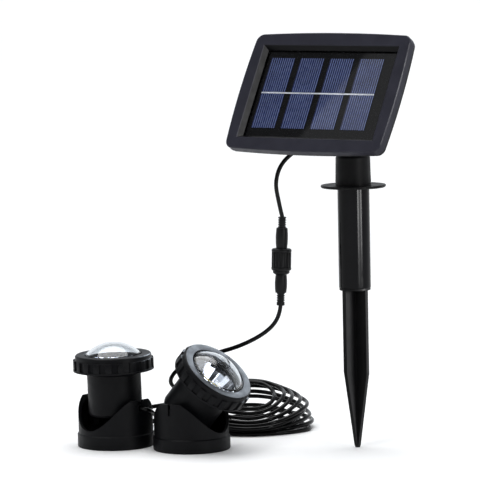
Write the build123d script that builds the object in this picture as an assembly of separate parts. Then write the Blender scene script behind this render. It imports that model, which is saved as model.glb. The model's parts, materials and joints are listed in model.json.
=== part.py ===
from build123d import *
import math
import os

os.makedirs("parts", exist_ok=True)

# Solar pond light set: a solar panel tilting on a ground stake, one lead with a screwed
# connector, a loose coil, and two identical submersible spotlights on pivoting bases.
# Millimetres. X runs right, Y away from the front, Z up. The origin is the point of the
# ground spike, and the spike, both lamp bases and the coil stand on Z = 0.

# ---------------------------------------------------------------- shared clearances
RUN = 0.05              # radial clearance of a turning pin in its hole
SEAT = 0.10             # radial clearance of a piece that is dropped into a pocket

# ---------------------------------------------------------------- stake
SPIKE_HALF_SPAN = 12.8  # from the axis to a fin's edge
SPIKE_FIN = 3.0         # fin thickness
SPIKE_TAPER_Z = 61.5    # the fins taper below this height
SPIKE_TIP_R = 2.1       # rounding of the blunt point
TUBE_D = 26.0
TUBE_WALL = 1.8
TUBE_BOTTOM_Z = 131.2
TUBE_LENGTH = 82.0
SHOULDER_STEP = 0.4     # the spike's shoulder stays this far inside the tube's edge
SHOULDER_T = 1.6
SPIGOT_LENGTH = 22.0
FLANGE_R = 26.4
FLANGE_T = 2.0
POST_D = 28.0
POST_HEIGHT = 27.3      # upper post, above the flange
POST_DRAFT = 0.5        # the post widens by this much at its foot
TONGUE_W = 13.8         # along the tilt axis
TONGUE_T = 12.0
TONGUE_EYE_R = 8.4

# ---------------------------------------------------------------- solar panel
PANEL_W = 152.0
PANEL_H = 106.8
PANEL_BULGE = 2.1       # each edge bows out by this much
PANEL_CORNER_R = 7.0
BEZEL_T = 6.6
BEZEL_SIDE = 10.6       # bezel's border beside its window
BEZEL_END = 11.2        # and above and below it
WINDOW_BEVEL = 3.4      # slope of the window's wall, per side
WINDOW_DEPTH = 4.5
STACK_MARGIN = 1.6      # laminate reaches this far under the bezel
COVER_T = 1.2
RIBBON_T = 0.15
CELL_T = 0.3
BOARD_T = 1.2
CELL_COUNT = 4
CELL_GAP = 5.8          # between two cells
CELL_SIDE_MARGIN = 7.7  # mean of the two, between the outer cells and the window wall's foot
CELL_END_MARGIN = 7.05
CELLS_X = -3.5          # the cells sit off the window's middle by this much
CELLS_Y = 1.0
RIBBON_W = 1.3
HOUSING_INSET = 0.6
HOUSING_RIM_T = 4.2
HUMP_SIDE = 1.7         # hump's edge outside the door
HUMP_PAST_BUTTON = 8.0  # hump's edge from the button's centre
HUMP_WALL = 2.0
HUMP_CORNER_R = 8.0
LUG_REACH = 10.8        # tilt axis behind the hump
PIVOT_SHIFT = 12.4      # tilt axis centre beside the panel's centre
LUG_T = 6.0
LUG_R = 8.0
LUG_H = 17.0
LUG_GAP = 0.1           # each side of the tongue
TILT_BOLT_D = 5.0
KNOB_D = 15.0
KNOB_T = 8.0
KNOB_BORE_DEPTH = 6.0
PANEL_YAW = -35.0       # heading of the panel about the stake
PANEL_RECLINE = 59.6    # 0 faces the sky, 90 faces the horizon
PIVOT_ABOVE_POST = 31.2

BATTERY_D = 14.2
BATTERY_L = 49.0
BATTERY_GAP = 0.4       # between the two batteries
BATTERY_SIDE = 0.2      # between a battery and the door opening's edge
BATTERY_END = 0.8
BATTERY_IN_RIM = 0.8    # the batteries reach this far into the housing's rim
DOOR_T = 2.0
DOOR_TO_LUG = 1.5       # between the door and the nearer lug
DOOR_LAP_X = 1.4        # the door laps the hump's wall by this much at its sides
DOOR_LAP_Y = 4.0        # and by this much at its ends, where its screws are
DOOR_SCREW_X = 9.0      # the screws stand this far from the door's middle line
SCREW_D = 2.6
SCREW_FROM_SIDE = 13.6
SCREW_FROM_EDGE = 7.6
SCREW_HEAD_D = 4.8
SCREW_HEAD_T = 1.5
SCREW_PROUD = 0.3       # the door's screw heads stand this far out

BUTTON_D = 8.0
BUTTON_X = 29.0
BUTTON_Y = -19.0
BUTTON_PROUD = 1.8
BUTTON_TRAVEL = 1.2

# ---------------------------------------------------------------- lamps
BASE_FOOT_STEP = 0.9    # the foot ring stands this far out
BASE_FOOT_H = 11.0
BASE_D = 61.5
BASE_WALL = 2.5
BASE_FLOOR = 3.0
EAR_ABOVE_PIVOT = 6.8
VALLEY_Z = 15.0
VALLEY_SHARE = 0.03     # the valley's edge rises as VALLEY_SHARE * w * w
LAMP_PIVOT_Z = 33.5
SLIT_W = 2.4
SLIT_BELOW_PIVOT = 2.5
TRUNNION_D = 5.0
SLEEVE_D = 6.4          # hollow trunnion that the lead runs through
SLEEVE_BORE = 4.0
THROAT_W = 5.2          # snap-in mouth above the sleeve
BOSS_R = 5.4
SHOULDER_GAP = 0.3      # between the head's shoulder and the boss
BOSS_GAP = 1.2          # between the head and the ear's boss
WEB_T = 5.0
WEB_FOOT_Z = 15.0
EAR_DEPTH = 8.5         # from the base's outside to the head
HEAD_BELOW_PIVOT = 8.0
HEAD_WALL = 2.2
RING_ABOVE_PIVOT = 29.7 # ring's lower edge
RING_H = 13.2
RING_WALL = 2.85        # outside its thread
RING_LUG_STEP = 1.85    # the lugs stand this far outside the top band
RING_VALLEY_STEP = 0.35
RING_LUGS = 20
RING_LUG_ANGLE = 9.0
RING_LEDGE_H = 1.5
RING_BAND_H = 4.0
RING_LIP_W = 5.0        # lip over the lens, from the thread inwards
RING_LIP_T = 3.2
THREAD_STEP = 6.45      # the threaded collar stands this far outside the head
THREAD_H = 6.8
LENS_FLANGE_GAP = 2.7   # between the lens flange and the thread
LENS_FLANGE_T = 2.0
LENS_GAP = 0.8          # between the dome and the ring's lip
LENS_RISE = 9.7
LENS_WALL = 2.2
SEAL_T = 1.2
LED_BOARD_T = 1.6
LED_BOARD_ABOVE_PIVOT = 10.5
LED_COUNT = 6
LED_SIZE = 3.5
REFLECTOR_T = 1.0
REFLECTOR_INSET = 0.55  # between the reflector's mouth and the head's inside
REFLECTOR_THROAT_D = 17.0
LEFT_HEADING = -45.5    # about Z, 0 leans towards the front
LEFT_TILT = 1.6
RIGHT_LAMP = (-135.6, 10.7)
LAMP_GAP = 6.39         # between the two bases
LAMP_SPREAD = 158.12    # heading from the right lamp to the left one
RIGHT_HEADING = 55.0
RIGHT_TILT = 41.2

# ---------------------------------------------------------------- cable
CABLE_D = 3.4
GLAND_BELOW_PIVOT = 23.7
GLAND_D = 8.0
GLAND_TIP_D = 5.0
GLAND_LENGTH = 16.0
CONNECTOR_TOP = (-57.8, 22.0, 188.0)
CONNECTOR_FOOT = (-60.5, 22.0, 115.3)
BOOT_D = 6.5
BOOT_TOP_LENGTH = 9.0
BOOT_FOOT_LENGTH = 10.5
BARREL_D = 9.0
BARREL_BULGE = 0.5
NUT_WALL = 1.95         # of the nut, outside the plug's flange
NUT_TOP = 26.0          # distances down the connector's axis
NUT_LENGTH = 18.0
NUT_GRIPS = 18
PLUG_FLANGE_STEP = 1.7  # the plug's flange outside its barrel
COLLAR_STEP = 0.6       # the socket's collar outside the flange
COLLAR_LENGTH = 3.4
PIN_D = 1.5

# Each stretch of cable is a list of points from one end to the other.
UPPER_LEAD = [
    (-30.6, 21.4, 249.9),
    (-46.4, 23.4, 240.8),
    (-57.4, 22.6, 230.6),
    (-62.4, 22.0, 216.5),
    (-60.9, 22.0, 202.5),
]
TRUNK_LEAD = [
    (-61.5, 22.3, 107.2),
    (-68.3, 24.5, 97.6),
    (-81.0, 28.5, 88.6),
    (-97.0, 33.5, 80.8),
    (-114.0, 41.5, 75.0),
    (-131.0, 49.0, 68.0),
    (-146.0, 55.5, 60.5),
    (-154.0, 62.0, 50.0),
    (-151.5, 72.5, 42.0),
    (-145.5, 84.0, 37.5),
]
SPLITTER_FEED = [
    (-147.5, 129.0, 3.6),
    (-160.0, 132.6, 3.8),
]
LEFT_LAMP_LEAD = [
    (-175.2, 12.2, 33.5),
    (-170.6, 13.2, 32.2),
    (-168.5, 18.6, 30.2),
    (-166.6, 27.0, 26.6),
    (-162.4, 40.0, 20.0),
    (-160.6, 54.0, 11.0),
    (-164.5, 70.0, 4.2),
    (-177.0, 84.0, 2.2),
    (-194.0, 92.0, 2.0),
    (-209.0, 102.0, 2.0),
    (-215.0, 115.0, 2.2),
    (-207.0, 126.5, 3.2),
]
RIGHT_LAMP_LEAD = [
    (-112.2, 44.1, 33.5),
    (-108.5, 54.5, 33.4),
    (-112.8, 64.2, 33.2),
    (-123.5, 68.2, 32.6),
    (-138.0, 69.5, 31.6),
    (-152.0, 72.2, 30.4),
    (-167.0, 77.4, 29.0),
    (-184.0, 86.0, 25.6),
    (-202.0, 97.0, 18.0),
    (-217.0, 108.5, 9.6),
    (-224.0, 121.0, 5.0),
    (-220.5, 133.5, 3.2),
    (-209.5, 138.2, 3.4),
]
COIL_CENTRE = (-86.0, 108.0)
COIL_OUTER = (56.0, 48.0)
COIL_INNER = (30.0, 22.0)
COIL_TOP_Z = 30.0
COIL_SLOPE_X = -0.20    # the heap stands higher at its left and its back
COIL_SLOPE_Y = 0.20
SPLITTER_FACE_X = -174.0
SPLITTER_LENGTH = 22.0
SPLITTER_W = 15.0
SPLITTER_H = 8.0
SPLITTER_Y = 131.5
SPLITTER_PORT = 3.7     # each outgoing lead stands this far from the middle


def save(shape, name):
    """Write one node, as loose solids in one file."""
    solids = shape.solids()
    body = solids[0] if len(solids) == 1 else Compound(children=list(solids))
    export_step(body, f"parts/{name}.step")


def ring(outer_d, inner_d, bottom, top):
    """A tube on Z between two heights."""
    return cylinder(outer_d, bottom, top) - cylinder(inner_d, bottom - 1, top + 1)


def cylinder(diameter, bottom, top):
    """A cylinder on Z between two heights."""
    return Pos(0, 0, bottom) * Cylinder(
        diameter / 2, top - bottom, align=(Align.CENTER, Align.CENTER, Align.MIN))


def block(width, depth, bottom, top):
    """A box centred on Z between two heights."""
    return Pos(0, 0, bottom) * Box(
        width, depth, top - bottom, align=(Align.CENTER, Align.CENTER, Align.MIN))


def turned(*points):
    """A solid of revolution about Z from (radius, height) points."""
    outline = make_face(Plane.XZ * Polyline(*points, close=True))
    return revolve(outline, Axis.Z)


def along_x(diameter, start, end, height=0.0):
    """A cylinder along X between two places, at a height."""
    return Pos(start, 0, height) * Rot(0, 90, 0) * Cylinder(
        diameter / 2, end - start, align=(Align.CENTER, Align.CENTER, Align.MIN))


# ================================================================ stake
tube_top_z = TUBE_BOTTOM_Z + TUBE_LENGTH
tube_bore = TUBE_D - 2 * TUBE_WALL
spigot_d = tube_bore - 2 * SEAT
shoulder_d = TUBE_D - 2 * SHOULDER_STEP


def spike_fin():
    half = SPIKE_HALF_SPAN
    top = TUBE_BOTTOM_Z - SHOULDER_T
    tip = SPIKE_TIP_R
    profile = Plane.XZ * Polyline(
        (-half, top), (half, top), (half, SPIKE_TAPER_Z), (tip, tip * 0.8), (tip * 0.5, 0),
        (-tip * 0.5, 0), (-tip, tip * 0.8), (-half, SPIKE_TAPER_Z), close=True)
    return extrude(make_face(profile), SPIKE_FIN / 2, both=True)


def spike():
    fins = Rot(0, 0, 45) * spike_fin() + Rot(0, 0, -45) * spike_fin()
    shoulder = cylinder(shoulder_d, TUBE_BOTTOM_Z - SHOULDER_T, TUBE_BOTTOM_Z)
    spigot = cylinder(spigot_d, TUBE_BOTTOM_Z, TUBE_BOTTOM_Z + SPIGOT_LENGTH)
    spigot -= cylinder(spigot_d - 5, TUBE_BOTTOM_Z + 2, TUBE_BOTTOM_Z + SPIGOT_LENGTH + 1)
    return fins + shoulder + spigot


def stake_tube():
    tube = ring(TUBE_D, tube_bore, TUBE_BOTTOM_Z, tube_top_z)
    rim = tube.edges().filter_by(GeomType.CIRCLE).group_by(Axis.Z)[0].sort_by(SortBy.RADIUS)[-1]
    return fillet(rim, TUBE_WALL * 0.4)


post_top_z = tube_top_z + FLANGE_T + POST_HEIGHT
pivot_z = post_top_z + PIVOT_ABOVE_POST
gland_z = pivot_z - GLAND_BELOW_PIVOT


def post_head():
    foot_r = POST_D / 2 + POST_DRAFT
    post = turned(
        (0, tube_top_z), (FLANGE_R - 0.6, tube_top_z), (FLANGE_R, tube_top_z + 0.6),
        (FLANGE_R, tube_top_z + FLANGE_T - 0.4), (FLANGE_R - 0.4, tube_top_z + FLANGE_T),
        (foot_r, tube_top_z + FLANGE_T), (POST_D / 2, post_top_z - 5),
        (POST_D / 2 - 3, post_top_z), (0, post_top_z))
    spigot = cylinder(spigot_d, tube_top_z - SPIGOT_LENGTH, tube_top_z)
    tongue = block(TONGUE_W, TONGUE_T, post_top_z - 1, pivot_z)
    eye = along_x(2 * TONGUE_EYE_R, -TONGUE_W / 2, TONGUE_W / 2, pivot_z)
    bore = along_x(TILT_BOLT_D + 2 * RUN, -TONGUE_W, TONGUE_W, pivot_z)
    hollow = cylinder(spigot_d - 5, tube_top_z - SPIGOT_LENGTH - 1, post_top_z - 8)
    wire_way = along_x(CABLE_D, -TONGUE_W, 0, gland_z) + cylinder(4.0, post_top_z - 9, gland_z)
    head = post + spigot + tongue + eye - bore - hollow - wire_way
    return Rot(0, 0, PANEL_YAW) * head


def lead_gland():
    start = -TONGUE_W / 2
    outline = Plane.XY * Polyline(
        (start, 0), (start, GLAND_D / 2), (start - 3, GLAND_D / 2), (start - 4, GLAND_TIP_D / 2 + 0.6),
        (start - GLAND_LENGTH, GLAND_TIP_D / 2), (start - GLAND_LENGTH, 0), close=True)
    body = revolve(make_face(outline), Axis.X)
    body -= along_x(CABLE_D, start - GLAND_LENGTH - 1, start + 1)
    for rib in range(4):
        body -= Pos(start - 6.5 - 2.4 * rib, 0, 0) * Rot(0, 90, 0) * (
            Cylinder(5, 0.9) - Cylinder(GLAND_TIP_D / 2 - 0.25, 0.9))
    return Rot(0, 0, PANEL_YAW) * Pos(0, 0, gland_z) * body


save(spike(), "ground_spike")
save(stake_tube(), "stake_tube")
save(post_head(), "post_head")
save(lead_gland(), "lead_gland")

# ================================================================ solar panel
# The panel is drawn face up: its face is Z = 0, its width runs along X and its upper edge
# is at +Y. panel_place then puts the tilt axis on the post.
opening_w = PANEL_W - 2 * BEZEL_SIDE
opening_h = PANEL_H - 2 * BEZEL_END
stack_w = opening_w - 2 * WINDOW_BEVEL + 2 * STACK_MARGIN
stack_h = opening_h - 2 * WINDOW_BEVEL + 2 * STACK_MARGIN
cover_z = -WINDOW_DEPTH - COVER_T
ribbon_z = cover_z - RIBBON_T
cell_z = ribbon_z - CELL_T
board_z = cell_z - BOARD_T
housing_z = -BEZEL_T - HOUSING_RIM_T
hump_depth = HUMP_WALL + BATTERY_D - BATTERY_IN_RIM
hump_z = housing_z - hump_depth
pivot_depth = LUG_REACH - hump_z
panel_place = Pos(0, 0, pivot_z) * Rot(0, 0, PANEL_YAW) * Rot(PANEL_RECLINE, 0, 0) * Pos(
    -PIVOT_SHIFT, 0, pivot_depth)
hump_inner = hump_z + HUMP_WALL
cells_w = opening_w - 2 * WINDOW_BEVEL - 2 * CELL_SIDE_MARGIN
cell_w = (cells_w - (CELL_COUNT - 1) * CELL_GAP) / CELL_COUNT
cell_h = opening_h - 2 * WINDOW_BEVEL - 2 * CELL_END_MARGIN
cell_pitch = cell_w + CELL_GAP
screw_x = PANEL_W / 2 - SCREW_FROM_SIDE
screw_y = PANEL_H / 2 - SCREW_FROM_EDGE
screw_places = [(x, y) for x in (-screw_x, 0, screw_x) for y in (-screw_y, screw_y)]


def outline_face(inset):
    """The panel's outline, with bowed edges and rounded corners."""
    reach_x, reach_y = PANEL_W / 2 - inset, PANEL_H / 2 - inset
    half_w, half_h = reach_x - PANEL_BULGE, reach_y - PANEL_BULGE
    edges = [
        ThreePointArc((-half_w, -half_h), (0, -reach_y), (half_w, -half_h)),
        ThreePointArc((half_w, -half_h), (reach_x, 0), (half_w, half_h)),
        ThreePointArc((half_w, half_h), (0, reach_y), (-half_w, half_h)),
        ThreePointArc((-half_w, half_h), (-reach_x, 0), (-half_w, -half_h)),
    ]
    face = make_face(Curve() + edges)
    return fillet(face.vertices(), PANEL_CORNER_R - inset)


def slab(face, top, bottom):
    """A flat sheet of a face's outline between two heights."""
    return extrude(Pos(0, 0, bottom) * face, top - bottom)


def panel_bezel():
    frame = slab(outline_face(0), 0, -BEZEL_T)
    front = frame.edges().group_by(Axis.Z)[-1]
    frame = chamfer(front, 0.7)
    window = loft(Sketch() + [
        Pos(0, 0, 0.02) * Rectangle(opening_w, opening_h),
        Pos(0, 0, -WINDOW_DEPTH) * Rectangle(opening_w - 2 * WINDOW_BEVEL,
                                             opening_h - 2 * WINDOW_BEVEL)])
    pocket = block(stack_w + 2 * SEAT, stack_h + 2 * SEAT, -BEZEL_T - 1, -WINDOW_DEPTH)
    frame -= window
    frame -= pocket
    for x, y in screw_places:
        frame -= Pos(x, y, 0) * cylinder(SCREW_D, -BEZEL_T - 1, -BEZEL_T + 4.6)
    return frame


def solar_cells():
    first = -(CELL_COUNT - 1) / 2 * cell_pitch
    return Part() + [Pos(CELLS_X + first + n * cell_pitch, CELLS_Y, 0) * block(cell_w, cell_h, cell_z, ribbon_z)
                     for n in range(CELL_COUNT)]


def cell_ribbons():
    first = -(CELL_COUNT - 1) / 2 * cell_pitch
    return Pos(CELLS_X + first + cells_w / 2 - cell_w / 2, CELLS_Y, 0) * block(cells_w, RIBBON_W, ribbon_z, cover_z)


def lug(x_start, x_end):
    length = x_end - x_start
    arm = Pos((x_start + x_end) / 2, 0, 0) * block(length, LUG_H, -pivot_depth, hump_z + 0.5)
    return arm + along_x(2 * LUG_R, x_start, x_end, -pivot_depth)


tongue_half = TONGUE_W / 2 + LUG_GAP
lug_left = PIVOT_SHIFT - tongue_half - LUG_T
lug_right = PIVOT_SHIFT + tongue_half + LUG_T
battery_pitch = BATTERY_D + BATTERY_GAP
door_hole_w = battery_pitch + BATTERY_D + 2 * BATTERY_SIDE
door_hole_h = BATTERY_L + 2 * BATTERY_END
door_w = door_hole_w + 2 * DOOR_LAP_X
door_h = door_hole_h + 2 * DOOR_LAP_Y
door_x = lug_left - DOOR_TO_LUG - door_w / 2
hump_left = door_x - door_w / 2 - HUMP_SIDE
hump_right = BUTTON_X + HUMP_PAST_BUTTON
hump_w = hump_right - hump_left
hump_h = door_h + 2 * HUMP_SIDE
hump_x = (hump_left + hump_right) / 2
door_screw_places = [(door_x + sx * DOOR_SCREW_X, sy * (door_h - DOOR_LAP_Y) / 2)
                     for sx in (-1, 1) for sy in (-1, 1)]


def panel_housing():
    rim = slab(outline_face(HOUSING_INSET), -BEZEL_T, housing_z)
    rim = fillet(rim.edges().group_by(Axis.Z)[0], 2.0)
    hump = slab(Pos(hump_x, 0) * RectangleRounded(hump_w, hump_h, HUMP_CORNER_R), housing_z, hump_z)
    hump = fillet(hump.edges().group_by(Axis.Z)[0], 1.5)
    shell = rim + hump
    shell += lug(lug_left, lug_left + LUG_T) + lug(lug_right - LUG_T, lug_right)
    shell -= block(stack_w + 2 * SEAT, stack_h + 2 * SEAT, board_z, -BEZEL_T + 1)
    shell -= slab(Pos(hump_x, 0) * RectangleRounded(
        hump_w - 2 * HUMP_WALL, hump_h - 2 * HUMP_WALL, HUMP_CORNER_R - HUMP_WALL),
        -BEZEL_T, hump_inner)
    shell -= Pos(door_x, 0, 0) * block(door_hole_w, door_hole_h, hump_z - 1, hump_inner + 1)
    for x, y in door_screw_places:
        shell -= Pos(x, y, 0) * cylinder(SCREW_D, hump_z - 1, hump_inner + 1)
    for x, y in screw_places:
        shell -= Pos(x, y, 0) * cylinder(SCREW_D, housing_z - 1, -BEZEL_T + 1)
        shell -= Pos(x, y, 0) * cylinder(SCREW_HEAD_D + 2 * SEAT, housing_z - 1,
                                         housing_z + SCREW_HEAD_T)
    shell -= gasket_band(SEAT)
    shell -= along_x(TILT_BOLT_D + 2 * RUN, lug_left - 1, lug_right + 1, -pivot_depth)
    shell -= Pos(BUTTON_X, BUTTON_Y, 0) * cylinder(BUTTON_D + 2 * RUN, hump_z - 1, hump_inner + 1)
    return shell


def gasket_band(extra):
    """The groove or seal between bezel and housing, around the laminate."""
    outer = RectangleRounded(stack_w + 7.2 + 2 * extra, stack_h + 7.2 + 2 * extra, 4)
    inner = RectangleRounded(stack_w + 4.0 - 2 * extra, stack_h + 4.0 - 2 * extra, 3)
    return slab(outer - inner, -BEZEL_T, -BEZEL_T - 1.2)


def screw(x, y, head_z, tip_z):
    """A pan-head screw pointing up from the panel's back."""
    shank = cylinder(SCREW_D, head_z + SCREW_HEAD_T, tip_z)
    head = cylinder(SCREW_HEAD_D, head_z, head_z + SCREW_HEAD_T)
    head = chamfer(head.edges().group_by(Axis.Z)[0], 0.5)
    slot = block(3.0, 0.7, head_z - 1, head_z + 0.8) + block(0.7, 3.0, head_z - 1, head_z + 0.8)
    return Pos(x, y, 0) * (head + shank - slot)


door_z = hump_z - DOOR_T


def battery_door():
    plate = slab(RectangleRounded(door_w, door_h, 2.5), hump_z, door_z)
    plate = fillet(plate.edges().group_by(Axis.Z)[0], 0.8)
    seal_outer = RectangleRounded(door_hole_w - 2 * SEAT, door_hole_h - 2 * SEAT, 1.0)
    plug = slab(seal_outer, hump_z + 1.4, hump_z)
    plug -= slab(RectangleRounded(door_hole_w - 4, door_hole_h - 4, 1.0), hump_z + 1.5, hump_z)
    door = Pos(door_x, 0, 0) * (plate + plug)
    for x, y in door_screw_places:
        door -= Pos(x, y, 0) * cylinder(SCREW_D, door_z - 1, hump_z + 1)
        door -= Pos(x, y, 0) * cylinder(SCREW_HEAD_D + 2 * SEAT, door_z - 1,
                                        door_z + SCREW_HEAD_T - SCREW_PROUD)
    return door


def door_gasket():
    groove = RectangleRounded(door_hole_w - 4.1, door_hole_h - 4.1, 1.0)
    groove -= RectangleRounded(door_hole_w - 6.5, door_hole_h - 6.5, 0.8)
    return Pos(door_x, 0, 0) * slab(groove, hump_z + 1.2, hump_z)


battery_z = hump_z + HUMP_WALL + BATTERY_D / 2 - 0.4
battery_xs = (door_x - battery_pitch / 2, door_x + battery_pitch / 2)


def batteries():
    cells = Part()
    for x in battery_xs:
        body = Pos(x, 0, battery_z) * Rot(90, 0, 0) * Cylinder(BATTERY_D / 2, BATTERY_L - 1.6)
        nose = Pos(x, BATTERY_L / 2 - 0.4, battery_z) * Rot(90, 0, 0) * Cylinder(2.6, 0.8)
        cells += body + nose
    return cells


def battery_contacts():
    plates = Part()
    for x in battery_xs:
        plates += Pos(x, BATTERY_L / 2 + 0.3, battery_z) * Box(9, 0.6, 9)
        spring = Pos(x, -BATTERY_L / 2 - 0.1, battery_z) * Rot(90, 0, 0) * Cone(3.6, 2.2, 1.4)
        plates += spring + Pos(x, -BATTERY_L / 2 - 1.1, battery_z) * Box(9, 0.6, 9)
    return plates


def control_board():
    board = Pos(20.5, 6, 0) * block(26, 40, hump_inner + 5.0, hump_inner + 6.6)
    chip = Pos(18, 12, 0) * block(6, 5, hump_inner + 6.6, hump_inner + 8.0)
    coil = Pos(26, -2, 0) * cylinder(6.5, hump_inner + 6.6, hump_inner + 10.2)
    posts = Part() + [Pos(x, y, 0) * cylinder(4.0, hump_inner, hump_inner + 5.0)
                      for x in (10.5, 30.5) for y in (-11, 23)]
    return board + chip + coil + posts


def power_button():
    cap = cylinder(BUTTON_D, hump_z - BUTTON_PROUD, hump_inner)
    cap = fillet(cap.edges().group_by(Axis.Z)[0], 0.6)
    skirt = cylinder(BUTTON_D + 2.4, hump_inner, hump_inner + 0.9)
    return Pos(BUTTON_X, BUTTON_Y, 0) * (cap + skirt)


def switch_block():
    """The latching switch that the button presses."""
    top = hump_inner + 0.9 + BUTTON_TRAVEL + 0.1
    return Pos(BUTTON_X, BUTTON_Y, 0) * block(9, 9, top, top + 5)


bolt_shank_end = lug_left - 7.0
knob_start = lug_right + 0.8


def tilt_bolt():
    shank = along_x(TILT_BOLT_D, bolt_shank_end, knob_start + KNOB_BORE_DEPTH, -pivot_depth)
    washer = along_x(10.0, lug_right, knob_start, -pivot_depth)
    return shank + washer


def clamp_knob():
    """The moulded knob on the bolt's end."""
    knob = along_x(KNOB_D, knob_start, knob_start + KNOB_T, -pivot_depth)
    for n in range(6):
        knob -= Pos(0, 0, -pivot_depth) * Rot(60 * n, 0, 0) * along_x(
            5.0, knob_start - 1, knob_start + KNOB_T + 1, KNOB_D / 2 + 1.1)
    return knob - along_x(TILT_BOLT_D, knob_start - 1, knob_start + KNOB_BORE_DEPTH, -pivot_depth)


def tilt_nut():
    hexagon = extrude(RegularPolygon(4.0, 6, major_radius=False), 4.0)
    nut = Pos(lug_left - 4.0, 0, -pivot_depth) * Rot(0, 90, 0) * hexagon
    return nut - along_x(TILT_BOLT_D + 2 * RUN, lug_left - 9, lug_left + 1, -pivot_depth)


panel_nodes = {
    "panel_bezel": panel_bezel(),
    "panel_cover": block(stack_w, stack_h, cover_z, -WINDOW_DEPTH),
    "solar_cells": solar_cells(),
    "cell_ribbon": cell_ribbons(),
    "cell_board": block(stack_w, stack_h, board_z, cell_z),
    "panel_housing": panel_housing(),
    "housing_gasket": gasket_band(0),
    "housing_screws": Part() + [screw(x, y, housing_z, -BEZEL_T + 4.4) for x, y in screw_places],
    "battery_door": battery_door(),
    "door_gasket": door_gasket(),
    "door_screws": Part() + [screw(x, y, door_z - SCREW_PROUD, hump_inner)
                             for x, y in door_screw_places],
    "batteries": batteries(),
    "battery_contacts": battery_contacts(),
    "control_board": control_board(),
    "power_button": power_button(),
    "power_switch": switch_block(),
    "tilt_bolt": tilt_bolt(),
    "clamp_knob": clamp_knob(),
    "tilt_nut": tilt_nut(),
}
for name, shape in panel_nodes.items():
    save(panel_place * shape, name)

# ================================================================ lamps
# A lamp is drawn on its base's centre with its hinge along X and its head upright. The head
# leans towards -Y. The lead runs in along the hinge from the +X side.
base_r = BASE_D / 2
foot_d = BASE_D + 2 * BASE_FOOT_STEP
cup_r = base_r - BASE_WALL
head_r = base_r - EAR_DEPTH
head_d = 2 * head_r
thread_d = head_d + 2 * THREAD_STEP
ring_d = thread_d + 2 * RING_WALL
ring_lug_d = ring_d + 2 * RING_LUG_STEP
ring_valley_d = ring_d + 2 * RING_VALLEY_STEP
ring_opening_d = thread_d - 2 * RING_LIP_W
lens_flange_d = thread_d - 2 * LENS_FLANGE_GAP
lens_d = ring_opening_d - 2 * LENS_GAP
ear_z = LAMP_PIVOT_Z + EAR_ABOVE_PIVOT
slit_foot_z = LAMP_PIVOT_Z - SLIT_BELOW_PIVOT
head_bottom_z = LAMP_PIVOT_Z - HEAD_BELOW_PIVOT
led_board_z = LAMP_PIVOT_Z + LED_BOARD_ABOVE_PIVOT
ring_bottom_z = LAMP_PIVOT_Z + RING_ABOVE_PIVOT
ring_top_z = ring_bottom_z + RING_H
lip_z = ring_top_z - RING_LIP_T
seal_z = lip_z - LENS_FLANGE_T - SEAL_T
thread_z = seal_z - THREAD_H
cavity_r = head_r - HEAD_WALL
mouth_r = lens_flange_d / 2 - 2.0
reflector_mouth_d = 2 * (cavity_r - REFLECTOR_INSET)


def valley_cut():
    """The scoop between the two ears, right through the base."""
    reach = BASE_D / 2 - 0.6
    rim = VALLEY_Z + VALLEY_SHARE * reach * reach
    control = VALLEY_Z - VALLEY_SHARE * reach * reach
    scoop = Bezier((-reach, rim), (0, control), (reach, rim))
    lid = Polyline((reach, rim), (reach, ear_z + 5), (-reach, ear_z + 5), (-reach, rim))
    outline = make_face(Plane.XZ * (Curve() + [scoop, lid]))
    return extrude(outline, BASE_D, both=True)


def lamp_base():
    foot_r = foot_d / 2
    cup = turned(
        (0, 0), (foot_r - 0.6, 0), (foot_r, 0.6), (foot_r, BASE_FOOT_H - 0.5),
        (base_r, BASE_FOOT_H + 0.4), (base_r, ear_z), (cup_r, ear_z), (cup_r, BASE_FOOT_H),
        (cup_r - 0.8, BASE_FLOOR + 2), (cup_r - 2.5, BASE_FLOOR), (0, BASE_FLOOR))
    inner_face = head_r + BOSS_GAP
    base = cup - valley_cut()
    for side in (-1, 1):
        middle = side * (inner_face + cup_r + 1) / 2
        base += along_x(2 * BOSS_R, *sorted((side * inner_face, side * (cup_r + 1))),
                        LAMP_PIVOT_Z)
        base += Pos(middle, 0, 0) * block(cup_r + 1 - inner_face, WEB_T, WEB_FOOT_Z,
                                          LAMP_PIVOT_Z)
    base -= along_x(TRUNNION_D + 2 * RUN, -base_r + 1.1, -inner_face + 1, LAMP_PIVOT_Z)
    base -= along_x(SLEEVE_D + 2 * RUN, inner_face - 1, base_r + 1, LAMP_PIVOT_Z)
    slit = Pos(-base_r, 0, 0) * block(4 * BASE_WALL, SLIT_W, slit_foot_z, ear_z + 1)
    throat = Pos(base_r, 0, 0) * block(8 * BASE_WALL, THROAT_W, LAMP_PIVOT_Z, ear_z + 1)
    return base - slit - throat


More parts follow.
